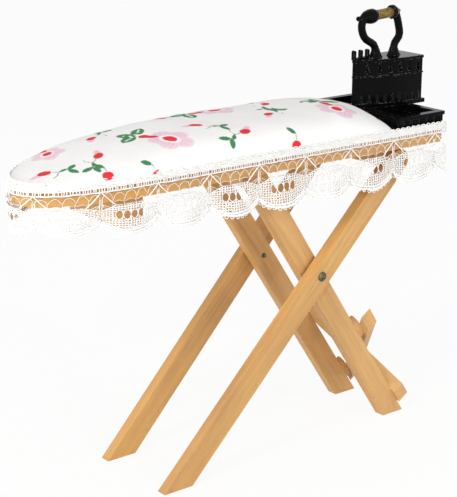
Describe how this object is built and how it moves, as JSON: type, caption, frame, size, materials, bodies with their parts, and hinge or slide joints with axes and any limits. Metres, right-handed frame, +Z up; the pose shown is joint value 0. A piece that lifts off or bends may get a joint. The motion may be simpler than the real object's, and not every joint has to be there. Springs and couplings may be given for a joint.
{
  "type": "dollhouse ironing board",
  "caption": "Folding miniature wooden ironing board with padded floral cover, lace trim and an iron rest that carries a loose box iron.",
  "frame": {"origin": "middle of the bounding box on the floor", "axes": "+X along the board from the rounded nose to the square end that carries the iron, +Y across, +Z up"},
  "size_m": [0.1204, 0.0344, 0.1048],
  "materials": {
    "wood": "waxed, fine grain",
    "wadding": "soft wadding",
    "cotton": "printed floral cotton",
    "lace": "cotton lace",
    "black_casting": "gloss black",
    "brass": "worn satin",
    "nail": "dull"
  },
  "bodies": {
    "board": {"board_plank": "wood", "pad_wadding": "wadding", "pad_cover": "cotton", "lace_trim": "lace", "nose_cross_block": "wood", "hinge_rail": "wood", "hinge_nail_near": "nail", "hinge_nail_far": "nail", "iron_tray": "black_casting"},
    "frame_a": {"frame_a_leg_near": "wood", "frame_a_leg_far": "wood", "pivot_nail_near": "nail", "pivot_nail_far": "nail"},
    "frame_b": {"frame_b_leg_near": "wood", "frame_b_leg_far": "wood", "frame_b_top_bar": "wood", "brace_stick_inner": "wood", "brace_stick_outer": "wood", "brace_spacer_near": "wood", "brace_spacer_far": "wood"},
    "iron": {"iron_sole": "black_casting", "iron_body": "black_casting", "iron_lid": "black_casting", "iron_nose_comb": "black_casting", "iron_handle_front": "black_casting", "iron_handle_rear": "black_casting", "iron_handle_rod": "brass", "iron_handle_sleeve": "brass"}
  },
  "joints": [
    {"name": "frame_a_hinge", "type": "hinge", "parent": "board", "child": "frame_a", "pos_m": [0.04235, 0, 0.0693], "axis": [0, 1, 0], "range_deg": [0, 30]},
    {"name": "frame_b_pivot", "type": "hinge", "parent": "frame_a", "child": "frame_b", "pos_m": [0.01818, 0, 0.0441], "axis": [0, -1, 0], "range_deg": [0, 68.5]},
    {"name": "iron_lift", "type": "slide", "parent": "board", "child": "iron", "axis": [0, 0, 1], "range_m": [0, 0.03]}
  ],
  "couplings": [
    {"joint": "frame_b_pivot", "follows": "frame_a_hinge", "ratio": 2.27}
  ]
}
